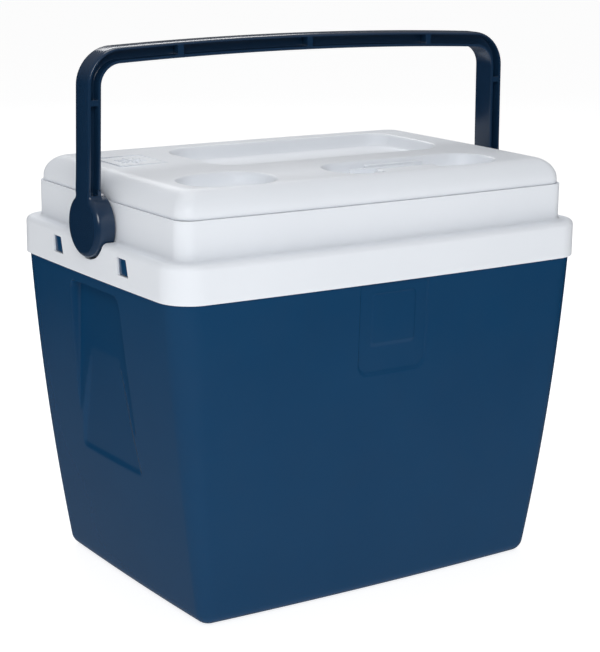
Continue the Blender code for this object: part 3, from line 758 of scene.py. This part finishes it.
def make_lid_emblem():
    """A generic raised snow crystal in a plain frame."""
    centre = np.array(EMBLEM_CENTRE)
    low, high = LID_TOP - 0.5, LID_TOP + 1.3
    bars = []
    for angle in range(30, 390, 60):
        bars.append(bar_along(centre, centre + direction(angle) * 15.0, 1.6, low, high))
        knee = centre + direction(angle) * 8.5
        for turn in (-60, 60):
            tip = knee + direction(angle + turn) * 4.6
            bars.append(bar_along(knee, tip, 1.3, low, high - 0.1))
    half_x, half_y = EMBLEM_HALF
    for sign in (1, -1):
        for a, b in (((-1, sign), (1, sign)), ((sign, -1), (sign, 1))):
            ends = [centre + (across * half_x, along * half_y) for across, along in (a, b)]
            bars.append(bar_along(*ends, 1.6, low, high))
    place(make("lid_emblem", *joined(bars), WHITE, 30), "lid", "lid_white")


def make_lid_base():
    """The inner plate, seen when the lid is lifted: a plug with a rounded rim and a sunk middle."""
    bottom, high = BASE_LOW[2], BASE_HIGH[2]
    flange_low = bottom + PLUG_HEIGHT
    flange_in = UPPER_INSET + LID_INSET + LID_WALL + 0.5

    def plug(z, inset):
        draft = PLUG_DRAFT * (flange_low - z) / (flange_low - bottom)
        corner = max(PLUG_CORNER - inset, 4.0)
        half_x, half_y = PLUG_HALF_X - draft - inset, PLUG_HALF_Y - draft - inset
        return ring(half_x, half_y, corner, z, bow_x=0, bow_y=0)

    rings = [plug(bottom + rise, inset) for inset, rise in PLUG_MIDDLE]
    rim = arc(PLUG_ROUND, bottom + PLUG_ROUND, PLUG_ROUND, 270, 180, 8)
    rings += [plug(z, inset) for inset, z in rim]
    rings.append(plug(flange_low, 0.0))
    rings.append(collar_ring(flange_in, flange_low, UPPER_CORNER - LID_WALL))
    rings.append(collar_ring(flange_in, high, UPPER_CORNER - LID_WALL))
    rings += [plug(high, 2.0), plug(bottom + 4.0, 2.0), plug(bottom + 3.6, 8.0)]
    base = make("lid_plug", *skin(rings), LINER_WHITE, 50)
    place(base, "lid", "liner_white", "lid_base")


# -------------------------------------------------------------------------------------------------
# Handle
# -------------------------------------------------------------------------------------------------


def lean(z):
    """How far the arms have moved in at height z, with a soft start just above the hub."""
    straight = ARM_SPLAY * (z - PIVOT_Z) / (BAR_TOP - PIVOT_Z)
    return straight * soft_step(np.asarray(z) - PIVOT_Z - 12.0, 40.0)


def bail_edge(foot_x, top, bend, low):
    """Half of one edge of the U: (x, z) stations from the right foot to the middle of the bar."""
    start = top - bend
    centre = foot_x - float(lean(start)) - bend
    half = [(foot_x - float(lean(z)), z) for z in np.linspace(low, start, 24)]
    half += [(x, z) for x, z in arc(centre, start, bend, 0, 90, 16)[1:]]
    for x in np.linspace(centre, 0, 26)[1:]:
        half.append((x, top + BAR_CROWN * (1 - (x / centre) ** 2)))
    return np.array(half)


def beam_section(thick, dome):
    """The handle's H section: (distance from the inner edge, y) points. dome rounds its outside."""
    w, web, lip, deep = ARM_HALF_Y, WEB_HALF, 0.5, 0.8
    foot = thick - FLANGE

    def quarter(fall, run):
        turn = np.radians(np.linspace(0, 90, 6))
        points = [(thick - fall * (1 - math.cos(t)), w - run * (1 - math.sin(t))) for t in turn]
        points += arc(foot + lip, w - lip, lip, 90, 180, 2) + [(foot, web + deep)]
        return points + arc(foot - deep, web + deep, deep, 0, -90, 3)[1:]

    fall = ARM_ROUND + dome * (DOME_FALL - ARM_ROUND)
    run = ARM_ROUND + dome * (DOME_RUN - ARM_ROUND)
    half = quarter(fall, run) + [(thick - a, b) for a, b in quarter(ARM_ROUND, ARM_ROUND)[::-1]]
    return np.array(half + [(a, -b) for a, b in half[::-1]])


def sweep_bail(low):
    outer = bail_edge(HUB_OUTER - 0.02, BAR_TOP, BEND_OUTER, low)
    inner = bail_edge(HUB_OUTER - ARM_THICK, BAR_TOP - BAR_THICK, BEND_INNER, low)
    rings = []
    for (ox, oz), (ix, iz) in zip(outer, inner):
        thick = math.hypot(ox - ix, oz - iz)
        way = np.array([ox - ix, oz - iz]) / thick
        section = beam_section(thick, soft_step(way[1], 1.0))
        rings.append([(ix + way[0] * a, b, iz + way[1] * a) for a, b in section])
    rings = np.array(rings)
    mirrored = rings[-2::-1].copy()
    mirrored[:, :, 0] *= -1
    return skin(np.concatenate([rings, mirrored]))


def keyhole():
    """Outline of hub and neck: (y, height over the pivot, edge radius, outward y, outward z)."""
    reach = HUB_RADIUS + NECK_FILLET
    centre_y = ARM_HALF_Y + NECK_FILLET
    centre_z = math.sqrt(reach**2 - centre_y**2)
    meet = math.degrees(math.atan2(centre_z, centre_y))
    half = []
    for t in np.linspace(-90, meet, 60):
        c, s = math.cos(math.radians(t)), math.sin(math.radians(t))
        half.append((HUB_RADIUS * c, HUB_RADIUS * s, HUB_ROUND, c, s))
    for share in np.linspace(0, 1, 15)[1:]:
        t = math.radians(180 + meet - share * meet)
        c, s = math.cos(t), math.sin(t)
        radius = HUB_ROUND + (ARM_ROUND - HUB_ROUND) * share
        half.append((centre_y + NECK_FILLET * c, centre_z + NECK_FILLET * s, radius, -c, -s))
    half.append((ARM_HALF_Y, NECK_TOP, ARM_ROUND, 1.0, 0.0))
    mirrored = [(-y, z, r, -ny, nz) for y, z, r, ny, nz in half[:0:-1]]
    return np.array(half + mirrored)


def hub_shell(side):
    """The hub's outer layer: the keyhole with a rounded outer edge, leaning with the arm."""
    y, z, radius, ny, nz = keyhole().T

    def layer(at_y, at_z, at_x):
        z_up = PIVOT_Z + at_z
        return np.stack([side * (at_x - lean(z_up)), at_y, z_up], -1)

    rings = [layer(y, z, np.full(len(y), HUB_OUTER - ARM_THICK))]
    for t in np.linspace(0, math.pi / 2, 9):
        inset = radius * (1 - math.cos(t))
        rings.append(layer(y - ny * inset, z - nz * inset, HUB_OUTER - radius * (1 - math.sin(t))))
    rings.append(layer((y - ny * radius) * 0.9, (z - nz * radius) * 0.9, HUB_OUTER))
    return skin(rings)


def channel_slot(side, sign):
    """A cutter that runs one of the arm's channels down into the hub."""
    xs = sorted((side * (HUB_OUTER - ARM_THICK + FLANGE), side * (HUB_OUTER - FLANGE - 0.4)))
    ys = sorted((sign * WEB_HALF, sign * (ARM_HALF_Y + 8)))
    low, high = (xs[0], ys[0], CHANNEL_LOW), (xs[1], ys[1], CHANNEL_LOW + 20)
    return rounded_block("slot", low, high, 1.2, NAVY)


def make_handle():
    bail = make("bail_beam", *sweep_bail(PIVOT_Z + NECK_TOP - 1.0), NAVY, 35)
    place(bail, "bail", "handle_navy", "handle")
    disc_outer = HUB_OUTER - ARM_THICK + 0.5
    disc = ((0, HUB_INNER), (HUB_RADIUS - 0.6, HUB_INNER), (HUB_RADIUS, HUB_INNER + 0.6))
    disc += ((HUB_RADIUS, disc_outer), (0, disc_outer))
    for side, word in SIDES:
        hub = make(f"hub_{word}", *hub_shell(side), NAVY, 35)
        apply_booleans(hub, [("DIFFERENCE", channel_slot(side, sign)) for sign in (1, -1)], 35)
        place(hub, "bail", "handle_navy")
        place(turned(f"hub_back_{word}", disc, side, NAVY), "bail", "handle_navy")


def rib(low, high, half_width, fillet):
    """A cross rib that flares into both flanges: (across, y, along) points, and faces."""
    low, high = low + FLANGE - RIB_SINK, high - FLANGE + RIB_SINK
    deep, edge = ARM_HALF_Y - 0.35, 0.4
    rings = []
    for y, trim in ((-deep, edge), (edge - deep, 0.0), (deep - edge, 0.0), (deep, edge)):
        side = half_width + fillet - trim
        half = arc(low + fillet, side, fillet, 180, 270, 4)
        half += arc(high - fillet, side, fillet, 270, 360, 4)
        rings.append([(a, y, b) for a, b in half] + [(a, y, -b) for a, b in half[::-1]])
    return skin(rings)


def make_handle_ribs():
    for number, x in enumerate(BAR_RIBS):
        top = BAR_TOP + BAR_CROWN * (1 - (x / BAR_HALF) ** 2)
        points, faces = rib(top - BAR_THICK, top, BAR_RIB_HALF, BAR_RIB_FILLET)
        points = points[:, (2, 1, 0)] + (x, 0, 0)
        place(make(f"bar_rib_{number + 1}", points, faces, NAVY), "bail", "handle_navy")
    for side, word in SIDES:
        outer = HUB_OUTER - float(lean(ARM_RIB_Z))
        points, faces = rib(outer - ARM_THICK, outer, ARM_RIB_HALF, ARM_RIB_FILLET)
        points = points * (side, 1, 1) + (0, 0, ARM_RIB_Z)
        place(make(f"arm_rib_{word}", points, faces, NAVY), "bail", "handle_navy")


def paint_cad_nodes():
    """The hidden foam and the pivot pins keep their CAD shape and get finished materials."""
    for name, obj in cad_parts.items():
        material = FOAM if "foam" in name else NAVY if name.startswith("pivot_pin") else None
        if material:
            obj.data.materials.clear()
            obj.data.materials.append(material)


# -------------------------------------------------------------------------------------------------
# Stage, light and camera
# -------------------------------------------------------------------------------------------------

FLOOR_HALF = 30000.0
# The studio's brightness by the sine of the elevation: dim below the horizon, a pale glow over it.
STUDIO = (
    (-1.0, 0.22),
    (-0.60, 0.18),
    (-0.45, 0.15),
    (-0.33, 0.09),
    (-0.285, 0.0),
    (-0.01, 0.0),
    (0.01, 0.90),
    (0.25, 0.90),
    (0.60, 0.66),
    (1.0, 0.49),
)


def make_stage():
    """A plain white floor, a hair below the object and left out of glossy reflections."""
    pale = Nodes("pale_floor")
    sockets = pale.shader.inputs
    sockets["Base Color"].default_value = (0.45, 0.45, 0.45, 1)
    sockets["Roughness"].default_value = 0.8
    sockets["Specular IOR Level"].default_value = 0.1
    sockets["Emission Color"].default_value = (1.0, 1.0, 1.0, 1)
    sockets["Emission Strength"].default_value = 0.82
    points = [(x * FLOOR_HALF, y * FLOOR_HALF, 0) for x, y in ((-1, -1), (1, -1), (1, 1), (-1, 1))]
    floor = make("floor", points, [[0, 1, 2, 3]], pale.material)
    floor.location.z = -0.0004
    floor.visible_glossy = False


def area_light(name, location, aim_height, size, power, color=(1, 1, 1)):
    """A rectangular lamp pointed at the object's middle, at aim_height."""
    data = bpy.data.lights.new(name, "AREA")
    data.shape = "RECTANGLE"
    data.size, data.size_y = size
    data.energy = power
    data.color = color
    light = bpy.data.objects.new(name, data)
    bpy.context.scene.collection.objects.link(light)
    light.location = location
    light.rotation_mode = "QUATERNION"
    aim = Vector((0, 0, aim_height)) - Vector(location)
    light.rotation_quaternion = aim.to_track_quat("-Z", "Y")


def make_world():
    """The studio as surfaces see it. The camera sees plain white."""
    world = bpy.data.worlds.new("studio")
    world.use_nodes = True
    tree = world.node_tree
    background = tree.nodes["Background"]
    rays = tree.nodes.new("ShaderNodeLightPath")
    where = tree.nodes.new("ShaderNodeTexCoord")
    split = tree.nodes.new("ShaderNodeSeparateXYZ")
    height = tree.nodes.new("ShaderNodeMapRange")
    height.inputs["From Min"].default_value = -1.0
    ramp = tree.nodes.new("ShaderNodeValToRGB")
    stops = ramp.color_ramp.elements
    for number, (sine, level) in enumerate(STUDIO):
        stop = stops[number] if number < 2 else stops.new(0.5)
        stop.position = (sine + 1) / 2
        stop.color = (level, level, level * 1.01, 1)
    mix = tree.nodes.new("ShaderNodeMix")
    mix.data_type = "RGBA"
    mix.inputs[7].default_value = (1.0, 1.0, 1.0, 1)
    tree.links.new(where.outputs["Generated"], split.inputs[0])
    tree.links.new(split.outputs["Z"], height.inputs["Value"])
    tree.links.new(height.outputs["Result"], ramp.inputs["Fac"])
    tree.links.new(ramp.outputs["Color"], mix.inputs[6])
    tree.links.new(rays.outputs["Is Camera Ray"], mix.inputs[0])
    tree.links.new(mix.outputs[2], background.inputs["Color"])
    bpy.context.scene.world = world


def make_light():
    area_light("key", (-1.27, -1.92, 1.50), 0.3, (1.2, 1.0), 26.5, (0.97, 0.985, 1.0))
    area_light("top", (0.2, 0.7, 2.7), 0.35, (1.4, 1.4), 16.0)
    area_light("rear", (1.0, 2.3, 2.1), 0.35, (1.4, 1.0), 20.0)


def make_camera():
    """The main view: its right and up directions, its place and its lens."""
    right = Vector((0.8312, -0.5558, 0.0127))
    up = Vector((0.1209, 0.203, 0.9717))
    right.normalize()
    up = (up - right * up.dot(right)).normalized()
    back = right.cross(up)
    data = bpy.data.cameras.new("camera")
    data.sensor_width = 36.0
    data.lens = 99.52
    data.clip_start, data.clip_end = 0.05, 100.0
    camera = bpy.data.objects.new("camera", data)
    bpy.context.scene.collection.objects.link(camera)
    turn = Matrix((right, up, back)).transposed().to_4x4()
    camera.matrix_world = Matrix.Translation((-0.9588, -1.4251, 0.6456)) @ turn
    bpy.context.scene.camera = camera


make_shell()
make_clips()
make_collar()
make_liner()
make_lid_cover()
make_lid_ribs()
make_lid_emblem()
make_lid_base()
make_handle()
make_handle_ribs()
paint_cad_nodes()
make_stage()
make_world()
make_light()
make_camera()
bpy.context.scene.view_settings.view_transform = "Standard"
